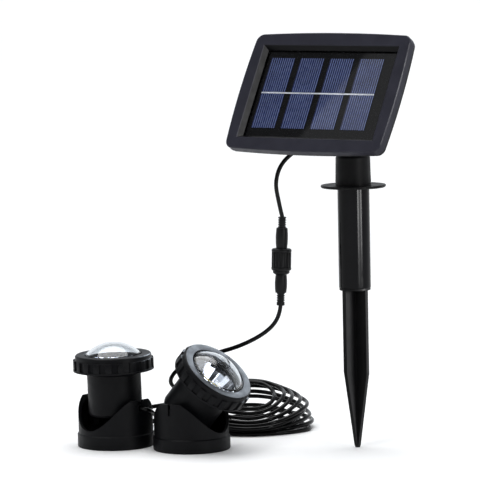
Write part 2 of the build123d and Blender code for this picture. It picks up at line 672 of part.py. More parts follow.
def lamp_body():
    """The head's moulded can, with a threaded collar and two trunnions."""
    collar_r = thread_d / 2
    can = turned(
        (0, head_bottom_z), (head_r - 2.5, head_bottom_z), (head_r - 0.7, head_bottom_z + 0.8),
        (head_r, head_bottom_z + 2.6), (head_r, thread_z - 3.0), (collar_r, thread_z),
        (collar_r, seal_z), (mouth_r, seal_z), (mouth_r, seal_z - 1.6), (cavity_r, seal_z - 1.6),
        (cavity_r, head_bottom_z + HEAD_WALL + 0.8), (0, head_bottom_z + HEAD_WALL + 0.8))
    stub = along_x(TRUNNION_D, -base_r + 1.3, -head_r + 1, LAMP_PIVOT_Z)
    sleeve = along_x(SLEEVE_D, cavity_r + 0.5, base_r, LAMP_PIVOT_Z)
    shoulder_r = head_r + BOSS_GAP - SHOULDER_GAP
    shoulders = along_x(9.0, head_r - 1, shoulder_r, LAMP_PIVOT_Z)
    shoulders += along_x(9.0, -shoulder_r, -head_r + 1, LAMP_PIVOT_Z)
    grommet_seat = along_x(SLEEVE_BORE + 2.0, cavity_r - 4, head_r, LAMP_PIVOT_Z)
    bore = along_x(SLEEVE_BORE, cavity_r - 2, base_r + 1, LAMP_PIVOT_Z)
    return can + stub + sleeve + shoulders - grommet_seat - bore


def lens_ring():
    outer = turned(
        (ring_lug_d / 2, ring_bottom_z), (ring_lug_d / 2, ring_bottom_z + RING_LEDGE_H),
        (ring_valley_d / 2, ring_bottom_z + RING_LEDGE_H),
        (ring_valley_d / 2, ring_top_z - RING_BAND_H),
        (ring_d / 2, ring_top_z - RING_BAND_H), (ring_d / 2, ring_top_z - 1.0),
        (ring_d / 2 - 1.0, ring_top_z), (ring_opening_d / 2 + 0.5, ring_top_z),
        (ring_opening_d / 2, ring_top_z - 0.5), (ring_opening_d / 2, lip_z),
        (thread_d / 2 + RUN, lip_z), (thread_d / 2 + RUN, ring_bottom_z))
    half_angle = math.radians(RING_LUG_ANGLE / 2)
    reach = ring_lug_d
    wedge = make_face(Polyline((0, 0), (reach, -reach * math.tan(half_angle)),
                               (reach, reach * math.tan(half_angle)), close=True))
    band = ring(ring_lug_d, ring_valley_d - 1, ring_bottom_z + RING_LEDGE_H,
                ring_top_z - RING_BAND_H)
    lug_block = band & (Pos(0, 0, ring_bottom_z) * extrude(wedge, ring_top_z - ring_bottom_z))
    for n in range(RING_LUGS):
        outer += Rot(0, 0, n * 360 / RING_LUGS) * lug_block
    return outer


def dome(radius, rise, foot_z):
    """A spherical cap on Z."""
    sphere_r = (radius * radius + rise * rise) / (2 * rise)
    ball = Pos(0, 0, foot_z + rise - sphere_r) * Sphere(sphere_r)
    return ball & cylinder(2 * radius, foot_z, foot_z + rise + 1)


def lamp_lens():
    flange = cylinder(lens_flange_d, lip_z - LENS_FLANGE_T, lip_z)
    barrel = cylinder(lens_d, lip_z - 0.5, ring_top_z)
    cap = dome(lens_d / 2, LENS_RISE, ring_top_z)
    inner_d = lens_d - 2 * LENS_WALL
    hollow = cylinder(inner_d, lip_z - LENS_FLANGE_T - 1, ring_top_z - 0.4)
    hollow += dome(inner_d / 2, LENS_RISE - LENS_WALL + 0.4, ring_top_z - 0.4)
    return flange + barrel + cap - hollow


def lamp_seal():
    return ring(lens_flange_d, 2 * mouth_r, seal_z, seal_z + SEAL_T)


reflector_foot_z = led_board_z + LED_BOARD_T
reflector_flange_z = seal_z - 1.6


def lamp_reflector():
    throat = REFLECTOR_THROAT_D / 2
    mouth = reflector_mouth_d / 2
    wall = REFLECTOR_T
    flange_top = reflector_flange_z + 1.2
    return turned(
        (throat, reflector_foot_z), (throat + wall, reflector_foot_z),
        (throat + 0.42 * (mouth - throat) + wall, reflector_foot_z + 6.5),
        (mouth - 1.2 + wall * 0.8, reflector_flange_z - 6.0), (mouth, reflector_flange_z),
        (mouth_r - SEAT, reflector_flange_z), (mouth_r - SEAT, flange_top),
        (mouth - 0.3, flange_top), (mouth - 1.2, reflector_flange_z - 5.0),
        (throat + 0.42 * (mouth - throat), reflector_foot_z + 7.0))


def lamp_leds():
    leds = Part() + block(LED_SIZE, LED_SIZE, reflector_foot_z, reflector_foot_z + 1.2)
    for n in range(LED_COUNT - 1):
        turn = Rot(0, 0, n * 360 / (LED_COUNT - 1))
        leds += turn * Pos(5.4, 0, 0) * block(
            LED_SIZE, LED_SIZE, reflector_foot_z, reflector_foot_z + 1.2)
    return leds


def lamp_grommet():
    """The seal that grips the lead's end, flush with the inside of the sleeve's foot."""
    plug_end = head_r + 0.5
    seal = along_x(SLEEVE_BORE + 2.0, cavity_r - 1.5, head_r, LAMP_PIVOT_Z)
    return seal + along_x(SLEEVE_BORE, head_r, plug_end, LAMP_PIVOT_Z)


def lamp_potting():
    floor = head_bottom_z + HEAD_WALL + 0.8
    fill = cylinder(2 * cavity_r, floor, led_board_z)
    return fill - along_x(SLEEVE_BORE + 2.0, cavity_r - 4, cavity_r + 1, LAMP_PIVOT_Z)


head_nodes = {
    "lamp_body": lamp_body(),
    "lens_ring": lens_ring(),
    "dome_lens": lamp_lens(),
    "lens_seal": lamp_seal(),
    "reflector": lamp_reflector(),
    "led_board": cylinder(2 * (cavity_r - SEAT), led_board_z, reflector_foot_z),
    "led_chips": lamp_leds(),
    "potting": lamp_potting(),
    "lead_grommet": lamp_grommet(),
}
base_shape = lamp_base()


def heading_point(centre, heading, distance, height):
    """A point at a distance from a centre, along a heading from +X."""
    return (centre[0] + distance * math.cos(math.radians(heading)),
            centre[1] + distance * math.sin(math.radians(heading)), height)


left_lamp = heading_point(RIGHT_LAMP, LAMP_SPREAD, BASE_D + LAMP_GAP, 0)
lamps = (("left", left_lamp, LEFT_HEADING, LEFT_TILT),
         ("right", RIGHT_LAMP, RIGHT_HEADING, RIGHT_TILT))
for side, centre, heading, tilt in lamps:
    stand = Pos(centre[0], centre[1], 0) * Rot(0, 0, heading)
    lean = stand * Pos(0, 0, LAMP_PIVOT_Z) * Rot(tilt, 0, 0) * Pos(0, 0, -LAMP_PIVOT_Z)
    save(stand * base_shape, f"{side}_pivot_base")
    for name, shape in head_nodes.items():
        save(lean * shape, f"{side}_{name}")

# ================================================================ connector
top = Vector(*CONNECTOR_TOP)
foot = Vector(*CONNECTOR_FOOT)
connector_length = (foot - top).length
# Drawn hanging down -Z from the origin, then laid on the line between its two ends.
connector_place = Plane(origin=top, x_dir=(0, 1, 0), z_dir=top - foot).location
nut_foot = NUT_TOP + NUT_LENGTH
plug_flange_d = BARREL_D + 2 * PLUG_FLANGE_STEP
nut_d = plug_flange_d + 2 * NUT_WALL
collar_d = plug_flange_d + 2 * COLLAR_STEP
nose_d = plug_flange_d - 4.2


def boot_cuts(start, end, pitch=1.9):
    """Grooves that make a strain relief flexible."""
    cuts = Part()
    count = int((end - start - 1.2) / pitch)
    for n in range(count):
        z = start + 1.6 + pitch * n
        cuts += ring(BOOT_D + 2, BOOT_D - 1.4, -z - 0.45, -z + 0.45)
    return cuts


def bulged(start, end, diameter, bulge):
    """A barrel that swells between two distances down the axis."""
    r = diameter / 2
    side = ThreePointArc((r, -start), (r + bulge, -(start + end) / 2), (r, -end))
    rest = Polyline((r, -end), (0, -end), (0, -start), (r, -start))
    return revolve(make_face(Plane.XZ * (Curve() + [side, rest])), Axis.Z)


flange_foot = NUT_TOP + 4.2
nose_foot = NUT_TOP + 12.5
seal_t = 1.0


def plug_body():
    boot = cylinder(BOOT_D, -BOOT_TOP_LENGTH, 0) - boot_cuts(0, BOOT_TOP_LENGTH)
    barrel = bulged(BOOT_TOP_LENGTH, NUT_TOP - 0.6, BARREL_D, BARREL_BULGE)
    neck = cylinder(BARREL_D, -NUT_TOP - 2.2, -NUT_TOP + 0.6)
    flange = cylinder(plug_flange_d, -flange_foot, -NUT_TOP - 2.2)
    nose = cylinder(nose_d, -nose_foot, -flange_foot)
    return boot + barrel + neck + flange + nose - pins(0)


def pins(extra):
    return Part() + [Pos(x, 0, 0) * cylinder(PIN_D + 2 * extra, -nose_foot - 3.5, -nose_foot + 5)
                     for x in (-1.8, 1.8)]


def coupling_nut():
    nut = cylinder(nut_d, -nut_foot, -NUT_TOP)
    nut = chamfer(nut.edges().filter_by(GeomType.CIRCLE), 0.9)
    groove = ring(nut_d + 2, nut_d - 1.6, -nut_foot + 2.6, -NUT_TOP - 2.6)
    knurl = ring(nut_d - 0.5, nut_d - 4, -nut_foot + 2.6, -NUT_TOP - 2.6)
    grip = Pos(nut_d / 2, 0, 0) * cylinder(1.9, -nut_foot + 2.6, -NUT_TOP - 2.6)
    for n in range(NUT_GRIPS):
        knurl -= Rot(0, 0, n * 360 / NUT_GRIPS) * grip
    nut = nut - groove + knurl
    nut -= cylinder(plug_flange_d + 2 * RUN, -nut_foot - 1, -NUT_TOP - 2.1)
    return nut - cylinder(BARREL_D + 2 * RUN, -NUT_TOP - 3, -NUT_TOP + 1)


def socket_body():
    collar_foot = nut_foot + 0.2 + COLLAR_LENGTH
    barrel_foot = connector_length - BOOT_FOOT_LENGTH
    nose = cylinder(plug_flange_d, -nut_foot - 1, -flange_foot - seal_t)
    collar = turned((0, -nut_foot - 0.2), (collar_d / 2, -nut_foot - 0.2),
                    (collar_d / 2, -collar_foot + 1.6), (BARREL_D / 2, -collar_foot),
                    (0, -collar_foot))
    barrel = bulged(collar_foot, barrel_foot, BARREL_D, BARREL_BULGE)
    boot = cylinder(BOOT_D, -connector_length, -barrel_foot)
    boot -= boot_cuts(barrel_foot, connector_length)
    socket = cylinder(nose_d + 2 * SEAT, -nose_foot - 0.2, -NUT_TOP)
    return nose + collar + barrel + boot - socket - pins(0.1)


save(connector_place * plug_body(), "plug_body")
save(connector_place * pins(0), "plug_pins")
save(connector_place * coupling_nut(), "coupling_nut")
save(connector_place * socket_body(), "socket_body")
save(connector_place * ring(plug_flange_d - 0.4, nose_d + 2 * SEAT, -flange_foot - seal_t,
                            -flange_foot), "connector_seal")

# ================================================================ cable
def cable(name, points):
    """A tube along straight runs joined by the largest arcs they allow."""
    places = [Vector(*p) for p in points]
    radii = []
    for before, corner, after in zip(places, places[1:], places[2:]):
        arrive, leave = corner - before, after - corner
        turn = math.radians(arrive.get_angle(leave))
        radii.append(0.45 * min(arrive.length, leave.length) / math.tan(turn / 2))
    path = FilletPolyline(*places, radius=radii)
    start = Plane(origin=path @ 0, z_dir=path % 0)
    tube = sweep(start * Circle(CABLE_D / 2), path=path)
    ideal = math.pi * CABLE_D ** 2 / 4 * path.length
    print(f"{name}: length {path.length:.1f}, tightest {min(radii):.1f}, "
          f"radii {[round(r, 1) for r in radii]}, volume share {tube.volume / ideal:.4f}")
    save(tube, name)


gland_end = -(TONGUE_W / 2 + GLAND_LENGTH)
gland_tip = heading_point((0, 0), PANEL_YAW, gland_end, gland_z)
lead_start = head_r + 0.5
left_sleeve = heading_point(left_lamp, LEFT_HEADING, lead_start, LAMP_PIVOT_Z)
right_sleeve = heading_point(RIGHT_LAMP, RIGHT_HEADING, lead_start, LAMP_PIVOT_Z)
port_x = SPLITTER_FACE_X - SPLITTER_LENGTH
port_z = SPLITTER_H / 2
port_left = (port_x, SPLITTER_Y - SPLITTER_PORT, port_z)
port_right = (port_x, SPLITTER_Y + SPLITTER_PORT, port_z)
coil_entry = (-138.8, 94.6, 34.0)
coil_exit = (-138.4, 121.5, 4.6)

cable("upper_lead", [gland_tip] + UPPER_LEAD + [CONNECTOR_TOP])
cable("trunk_lead", [CONNECTOR_FOOT] + TRUNK_LEAD + [coil_entry])
cable("splitter_feed", [coil_exit] + SPLITTER_FEED + [(SPLITTER_FACE_X, SPLITTER_Y, port_z)])
cable("left_lamp_lead", [left_sleeve] + LEFT_LAMP_LEAD + [port_left])
cable("right_lamp_lead", [right_sleeve] + RIGHT_LAMP_LEAD + [port_right])


def cable_coil():
    ring_face = Ellipse(*COIL_OUTER) - Ellipse(*COIL_INNER)
    heap = extrude(ring_face, 2 * COIL_TOP_Z)
    normal = Vector(-COIL_SLOPE_X, -COIL_SLOPE_Y, 1)
    above = Plane(origin=(0, 0, COIL_TOP_Z), z_dir=normal)
    heap -= above * Box(400, 400, 200, align=(Align.CENTER, Align.CENTER, Align.MIN))
    return Pos(COIL_CENTRE[0], COIL_CENTRE[1], 0) * heap


def cable_splitter():
    body = block(SPLITTER_LENGTH, SPLITTER_W, 0, SPLITTER_H)
    body = fillet(body.edges().filter_by(Axis.Z), 3.0)
    body = chamfer(body.edges().group_by(Axis.Z)[-1], 1.2)
    return Pos(SPLITTER_FACE_X - SPLITTER_LENGTH / 2, SPLITTER_Y, 0) * body


save(cable_coil(), "cable_coil")
save(cable_splitter(), "cable_splitter")
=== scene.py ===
"""Solar pond light set: a panel on a ground stake, one lead with a loose coil, and two spotlights."""

import json
import logging
import math
from dataclasses import dataclass, field
from enum import Enum
from typing import Callable, Iterable, Sequence

import bmesh
import bpy
from mathutils import Matrix, Vector


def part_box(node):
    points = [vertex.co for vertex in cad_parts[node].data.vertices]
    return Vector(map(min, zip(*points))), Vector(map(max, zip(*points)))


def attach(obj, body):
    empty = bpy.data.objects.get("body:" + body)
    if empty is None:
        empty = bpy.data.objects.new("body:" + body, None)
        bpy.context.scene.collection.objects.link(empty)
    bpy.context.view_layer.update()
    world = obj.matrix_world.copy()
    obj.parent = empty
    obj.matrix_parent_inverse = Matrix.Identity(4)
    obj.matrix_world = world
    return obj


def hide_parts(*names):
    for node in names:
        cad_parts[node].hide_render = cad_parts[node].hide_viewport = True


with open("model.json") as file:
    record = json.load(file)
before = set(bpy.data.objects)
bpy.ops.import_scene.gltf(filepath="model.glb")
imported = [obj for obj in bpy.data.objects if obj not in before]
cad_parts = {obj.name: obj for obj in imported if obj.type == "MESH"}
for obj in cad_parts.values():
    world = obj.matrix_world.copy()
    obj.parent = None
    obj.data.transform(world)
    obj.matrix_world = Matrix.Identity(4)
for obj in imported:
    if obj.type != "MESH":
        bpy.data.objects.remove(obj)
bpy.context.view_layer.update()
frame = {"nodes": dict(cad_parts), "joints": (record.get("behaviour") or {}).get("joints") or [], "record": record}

LOG = logging.getLogger("pond_light")
DISPLAY_GAMMA = 0.86
MM = 0.001

Colour = tuple[float, float, float]
Point = tuple[float, float, float]


# ---------------------------------------------------------------- finishes
class Slot(Enum):
    """The record's material slots that new pieces take their finish from."""

    CABLE = "cable_rubber"
    CONNECTOR = "connector_rubber"
    NUT = "nut_plastic"
    LAMP = "lamp_plastic"
    CHROME = "reflector_chrome"


class Graph:
    """A material's node tree, with short ways to add nodes and join them."""

    def __init__(self, name: str) -> None:
        """Makes an empty material with one shader.

        Args:
            name: the material's name.
        """
        self.material = bpy.data.materials.new(name)
        self.material.use_nodes = True
        self.nodes = self.material.node_tree.nodes
        self.links = self.material.node_tree.links
        self.shader = self.nodes["Principled BSDF"]
        self.place = self.nodes.new("ShaderNodeTexCoord").outputs["Object"]

    def value(self, socket: str, value: float | Sequence[float]) -> None:
        """Sets one of the shader's own sockets."""
        self.shader.inputs[socket].default_value = value

    def join(self, output: bpy.types.NodeSocket, socket: str) -> None:
        """Joins an output to one of the shader's sockets."""
        self.links.new(output, self.shader.inputs[socket])

    def noise(self, size: float, detail: float = 3.0, place: bpy.types.NodeSocket | None = None) -> bpy.types.NodeSocket:
        """A noise whose features are of a real size.

        Args:
            size: the size of its features, in metres.
            detail: its octaves.
            place: the coordinates that it reads, or the piece's own.

        Returns:
            The noise's value, from 0 to 1.
        """
        node = self.nodes.new("ShaderNodeTexNoise")
        node.inputs["Scale"].default_value = 1.0 / size
        node.inputs["Detail"].default_value = detail
        self.links.new(place or self.place, node.inputs["Vector"])
        return node.outputs[0]

    def spread(self, source: bpy.types.NodeSocket, low: float, high: float, start: float = 0.3,
               end: float = 0.7) -> bpy.types.NodeSocket:
        """Maps a value between start and end to one between low and high.

        Args:
            source: the value.
            low: what start becomes.
            high: what end becomes.
            start: the value that becomes low.
            end: the value that becomes high.

        Returns:
            The mapped value.
        """
        node = self.nodes.new("ShaderNodeMapRange")
        node.interpolation_type = "SMOOTHSTEP"
        self.links.new(source, node.inputs["Value"])
        for name, number in (("From Min", start), ("From Max", end), ("To Min", low), ("To Max", high)):
            node.inputs[name].default_value = number
        return node.outputs["Result"]

    def mix(self, share: bpy.types.NodeSocket, first: Colour | bpy.types.NodeSocket,
            second: Colour | bpy.types.NodeSocket) -> bpy.types.NodeSocket:
        """Mixes two colours.

        Args:
            share: how much of the second shows.
            first: a colour, or an output that gives one.
            second: a colour, or an output that gives one.

        Returns:
            The mixed colour.
        """
        node = self.nodes.new("ShaderNodeMix")
        node.data_type = "RGBA"
        self.links.new(share, node.inputs[0])
        for socket, colour in ((node.inputs[6], first), (node.inputs[7], second)):
            if isinstance(colour, bpy.types.NodeSocket):
                self.links.new(colour, socket)
            else:
                socket.default_value = (*colour, 1.0)
        return node.outputs[2]

    def along(self, axis: Sequence[float], origin: Sequence[float] = (0, 0, 0)) -> bpy.types.NodeSocket:
        """How far a point lies along an axis from an origin, in metres."""
        offset = self.nodes.new("ShaderNodeVectorMath")
        offset.operation = "SUBTRACT"
        self.links.new(self.place, offset.inputs[0])
        offset.inputs[1].default_value = tuple(origin)
        dot = self.nodes.new("ShaderNodeVectorMath")
        dot.operation = "DOT_PRODUCT"
        self.links.new(offset.outputs[0], dot.inputs[0])
        dot.inputs[1].default_value = tuple(axis)
        return dot.outputs["Value"]

    def math(self, operation: str, first: bpy.types.NodeSocket, second: float | bpy.types.NodeSocket = 0.0) -> bpy.types.NodeSocket:
        """One step of arithmetic on a value."""
        node = self.nodes.new("ShaderNodeMath")
        node.operation = operation
        self.links.new(first, node.inputs[0])
        if isinstance(second, bpy.types.NodeSocket):
            self.links.new(second, node.inputs[1])
        else:
            node.inputs[1].default_value = second
        return node.outputs[0]

    def relief(self, height: bpy.types.NodeSocket, depth: float, edge: float) -> None:
        """Gives the surface a fine relief, and softens its edges.

        Args:
            height: the relief, from 0 to 1.
            depth: its depth, in metres.
            edge: the radius that edges look rounded to, in metres, or 0.
        """
        bump = self.nodes.new("ShaderNodeBump")
        bump.inputs["Strength"].default_value = 1.0
        bump.inputs["Distance"].default_value = depth
        self.links.new(height, bump.inputs["Height"])
        if edge:
            soft = self.nodes.new("ShaderNodeBevel")
            soft.samples = 4
            soft.inputs["Radius"].default_value = edge
            self.links.new(soft.outputs["Normal"], bump.inputs["Normal"])
        self.join(bump.outputs["Normal"], "Normal")


@dataclass(frozen=True)
class Finish:
    """A moulded, rubber, metal or painted surface.

    The colour drifts by mottle over mottle_size, the gloss by smudge, and the grain has a
    real size and depth. Sizes are in metres.
    """

    name: str
    colour: Colour
    roughness: float
    metallic: float = 0.0
    specular: float = 0.5
    coat: float = 0.0
    coat_roughness: float = 0.08
    mottle: float = 0.15
    mottle_size: float = 0.018
    smudge: float = 0.06
    grain_size: float = 0.0007
    grain_depth: float = 0.00002
    edge: float = 0.00025

    def material(self) -> bpy.types.Material:
        """Builds the material.

        Returns:
            The finished material.
        """
        graph = Graph(self.name)
        graph.value("Metallic", self.metallic)
        graph.value("Specular IOR Level", self.specular)
        graph.value("Coat Weight", self.coat)
        graph.value("Coat Roughness", self.coat_roughness)
        drift = graph.spread(graph.noise(self.mottle_size), 0.0, 1.0)
        darker = tuple(c * (1 - self.mottle) for c in self.colour)
        lighter = tuple(min(1.0, c * (1 + self.mottle)) for c in self.colour)
        graph.join(graph.mix(drift, darker, lighter), "Base Color")
        gloss = graph.noise(self.mottle_size * 0.4, 4.0)
        graph.join(graph.spread(gloss, max(0.02, self.roughness - self.smudge),
                                min(1.0, self.roughness + self.smudge)), "Roughness")
        graph.relief(graph.noise(self.grain_size, 2.0), self.grain_depth, self.edge)
        return graph.material


@dataclass(frozen=True)
class ClearFinish:
    """Clear moulding or glass, with the faint haze of a used surface."""

    name: str
    colour: Colour
    roughness: float
    ior: float = 1.49
    ripple_size: float = 0.012
    ripple_depth: float = 0.00002

    def material(self) -> bpy.types.Material:
        """Builds the material."""
        graph = Graph(self.name)
        graph.value("Base Color", (*self.colour, 1.0))
        graph.value("Transmission Weight", 1.0)
        graph.value("IOR", self.ior)
        haze = graph.noise(self.ripple_size * 0.5, 3.0)
        graph.join(graph.spread(haze, self.roughness * 0.6, self.roughness * 1.6), "Roughness")
        graph.relief(graph.noise(self.ripple_size, 1.0), self.ripple_depth, 0.0)
        return graph.material


@dataclass(frozen=True)
class CellFinish:
    """Dark blue silicon with fine silver fingers along the panel's height, and painted light that makes the silicon
    lighter towards the panel's lower edge.
    """

    name: str
    across: Point
    upward: Point
    centre: Point
    colour: Colour = (0.0050, 0.0090, 0.044)
    finger: Colour = (0.135, 0.175, 0.320)
    finger_pitch: float = 0.00205
    finger_share: float = 0.22

    def material(self) -> bpy.types.Material:
        """Builds the material."""
        graph = Graph(self.name)
        graph.value("Specular IOR Level", 0.2)
        graph.value("Coat Weight", 0.9)
        graph.value("Coat Roughness", 0.03)
        column = graph.along(self.across, self.centre)
        row = graph.along(self.upward, self.centre)
        phase = graph.math("FRACT", graph.math("DIVIDE", column, self.finger_pitch))
        away = graph.math("ABSOLUTE", graph.math("SUBTRACT", phase, 0.5))
        finger = graph.spread(away, 1.0, 0.0, self.finger_share * 0.35, self.finger_share)
        cloud = graph.spread(graph.noise(0.016, 2.0), 0.0, 1.0, 0.3, 0.7)
        tone = graph.mix(cloud, self.colour, tuple(c * 1.35 for c in self.colour))
        # Painted light: the silicon is mixed toward a lighter blue towards the panel's lower edge, fading out towards
        # its top.
        height = graph.spread(row, 0.5, 0.0, -0.034, 0.034)
        painted_light_tone = graph.mix(height, tone, tuple(c * 1.5 for c in self.colour))
        fade = graph.math("MULTIPLY", finger, graph.spread(graph.noise(0.02, 1.0), 0.7, 1.0))
        graph.join(graph.mix(fade, painted_light_tone, self.finger), "Base Color")
        graph.join(graph.spread(graph.noise(0.004), 0.22, 0.34), "Roughness")
        graph.relief(finger, 0.00001, 0.0)
        return graph.material


@dataclass(frozen=True)
class BezelFinish:
    """Satin blue-grey moulding, with painted shade that turns the sloped sides of its window near black, and painted
    light that lightens their left side a little.

    These sides are told from the face by their depth, and by lying within the window.
    """

    name: str
    across: Point
    upward: Point
    outward: Point
    centre: Point
    colour: Colour = (0.0270, 0.0270, 0.0370)
    # Painted shade colour for the window's sloped sides, and a lighter painted light colour for its left side.
    painted_wall_shade: Colour = (0.0035, 0.0035, 0.0042)
    painted_wall_light: Colour = (0.0045, 0.0045, 0.0055)
    face_height: float = 0.0051
    half_width: float = 0.0655
    half_height: float = 0.0423

    def material(self) -> bpy.types.Material:
        """Builds the material."""
        graph = Graph(self.name)
        graph.value("Specular IOR Level", 0.16)
        graph.value("Coat Weight", 0.06)
        graph.value("Coat Roughness", 0.2)
        column = graph.along(self.across, self.centre)
        row = graph.along(self.upward, self.centre)
        depth = graph.along(self.outward, self.centre)
        beside = graph.spread(graph.math("ABSOLUTE", column), 1.0, 0.0, self.half_width, self.half_width + 0.0003)
        between = graph.spread(graph.math("ABSOLUTE", row), 1.0, 0.0, self.half_height, self.half_height + 0.0003)
        below = graph.spread(depth, 1.0, 0.0, self.face_height - 0.0009, self.face_height - 0.0003)
        # Painted shade: within the window and below the face, the colour turns near black.
        painted_shade_share = graph.math("MULTIPLY", graph.math("MULTIPLY", beside, between), below)
        # Painted light: towards the face, the window's left side is mixed toward the lighter colour.
        foot = graph.spread(depth, 0.0, 1.0, self.face_height - 0.0042, self.face_height - 0.0022)
        left = graph.math("MULTIPLY", graph.spread(column, 1.0, 0.0, -0.0625, -0.0600), foot)
        painted_wall_shade = graph.mix(left, self.painted_wall_shade, self.painted_wall_light)
        drift = graph.spread(graph.noise(0.02), 0.0, 1.0)
        face = graph.mix(drift, tuple(c * 0.9 for c in self.colour), tuple(c * 1.1 for c in self.colour))
        graph.join(graph.mix(painted_shade_share, face, painted_wall_shade), "Base Color")
        graph.join(graph.spread(graph.noise(0.006, 4.0), 0.30, 0.40), "Roughness")
        graph.relief(graph.noise(0.0009, 2.0), 0.00001, 0.0004)
        return graph.material


FINISHES = {
    "stake_plastic": Finish("matte black moulding", (0.0045, 0.0045, 0.0050), 0.45, specular=0.20,
                            grain_depth=0.00003),
    "tube_plastic": Finish("polished black tube", (0.0016, 0.0016, 0.0022), 0.12, specular=0.17, mottle=0.2,
                           smudge=0.03, grain_size=0.009, grain_depth=0.00001),
    "lamp_plastic": Finish("spark-textured lamp moulding", (0.0040, 0.0042, 0.0054), 0.44, specular=0.19,
                           mottle=0.15, grain_size=0.0006, grain_depth=0.00006, edge=0.0004),
    "seal_rubber": Finish("seal rubber", (0.010, 0.010, 0.010), 0.7, specular=0.25),
    "reflector_chrome": Finish("bright chrome", (0.90, 0.91, 0.94), 0.07, metallic=1.0, mottle=0.03,
                               smudge=0.04, grain_size=0.004, grain_depth=0.00001, edge=0.0),
    "board_white": Finish("white board lacquer", (0.78, 0.79, 0.78), 0.35, mottle=0.04),
    "led_phosphor": Finish("phosphor gel", (0.85, 0.68, 0.12), 0.25, coat=0.5, mottle=0.06),
    "potting_resin": Finish("potting resin", (0.02, 0.02, 0.022), 0.22, mottle=0.2),
    "tinned_ribbon": Finish("tinned ribbon", (0.80, 0.82, 0.86), 0.4, metallic=0.2, mottle=0.06, edge=0.0),
    "cell_backing": Finish("black laminate backing", (0.0030, 0.0030, 0.0036), 0.3, specular=0.08,
                           coat=0.4, coat_roughness=0.03, mottle=0.25, edge=0.0),
    "housing_plastic": Finish("black housing moulding", (0.0085, 0.0088, 0.0100), 0.42, specular=0.3,
                              grain_depth=0.00003, edge=0.0004),
    "screw_steel": Finish("zinc-plated steel", (0.56, 0.57, 0.60), 0.3, metallic=1.0, mottle=0.1),
    "battery_wrap": Finish("battery sleeve", (0.03, 0.12, 0.22), 0.35, mottle=0.08),
    "contact_brass": Finish("sprung brass contact", (0.70, 0.52, 0.22), 0.28, metallic=1.0),
    "circuit_green": Finish("solder mask", (0.01, 0.10, 0.04), 0.3, mottle=0.1),
    "switch_plastic": Finish("switch moulding", (0.02, 0.02, 0.02), 0.4),
    "button_rubber": Finish("button rubber", (0.07, 0.07, 0.075), 0.6, specular=0.3),
    "knob_plastic": Finish("knob moulding", (0.0080, 0.0080, 0.0088), 0.42, specular=0.3, grain_depth=0.00003),
    "connector_rubber": Finish("matte connector rubber", (0.0062, 0.0064, 0.0072), 0.42, specular=0.28,
                               mottle=0.2),
    "nut_plastic": Finish("coupling nut moulding", (0.0070, 0.0072, 0.0080), 0.40, specular=0.28, mottle=0.15),
    "cable_rubber": Finish("glossy cable sheath", (0.0018, 0.0018, 0.0021), 0.14, specular=0.26, mottle=0.3,
                           mottle_size=0.03, smudge=0.05, grain_size=0.003, grain_depth=0.00002, edge=0.0),
    "clear_lens": ClearFinish("clear lens moulding", (0.96, 0.98, 1.0), 0.03),
    "cover_glass": ClearFinish("panel cover", (0.98, 0.985, 1.0), 0.02, 1.05, 0.03, 0.000001),
}


CLEAR_SLOTS = ("clear_lens", "cover_glass")


class Paint:
    """Makes each finish's material once, and dresses the nodes that the frame brings."""

    def __init__(self, panel: "PanelAxes") -> None:
        """Takes the panel's axes, which the cells' fingers follow.

        Args:
            panel: the panel's centre and directions.
        """
        self.special = {
            "cell_silicon": CellFinish("finger-lined silicon", tuple(panel.across), tuple(panel.upward),
                                       tuple(panel.centre)),
            "bezel_plastic": BezelFinish("satin blue-grey bezel", tuple(panel.across), tuple(panel.upward),
                                         tuple(panel.outward), tuple(panel.centre)),
        }
        self.made: dict[str, bpy.types.Material] = {}

    def material(self, slot: str) -> bpy.types.Material:
        """The material of a slot of the record."""
        if slot not in self.made:
            finish = self.special.get(slot) or FINISHES[slot]
            self.made[slot] = finish.material()
        return self.made[slot]

    def dress_frame(self) -> None:
        """Gives every node of the frame the material of its own slot."""
        for row in frame["record"]["subparts"]:
            node = frame["nodes"][row["node"]]
            material = self.material(row["material_slot"])
            if not node.material_slots:
                node.data.materials.append(material)
            for holder in node.material_slots:
                holder.material = material
            if row["material_slot"] in CLEAR_SLOTS:
                node.visible_shadow = False
                node.visible_diffuse = False
            if row["material_slot"] == "cover_glass":
                node.visible_glossy = False
            LOG.info("dressed %s with %s", node.name, material.name)


# ---------------------------------------------------------------- making pieces
def joint(name: str) -> dict:
    """A joint of the frame by its name."""
    return next(j for j in frame["joints"] if j["name"] == name)


@dataclass
class PanelAxes:
    """The panel's centre and directions, worked out from its joints and its cover."""

    across: Vector = field(init=False)
    outward: Vector = field(init=False)
    upward: Vector = field(init=False)
    centre: Vector = field(init=False)

    def __post_init__(self) -> None:
        """Reads the frame."""
        self.across = -Vector(joint("panel_tilt")["axis"]).normalized()
        self.outward = Vector(joint("button_press")["axis"]).normalized()
        self.upward = self.outward.cross(self.across)
        low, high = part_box("panel_cover")
        self.centre = (low + high) / 2


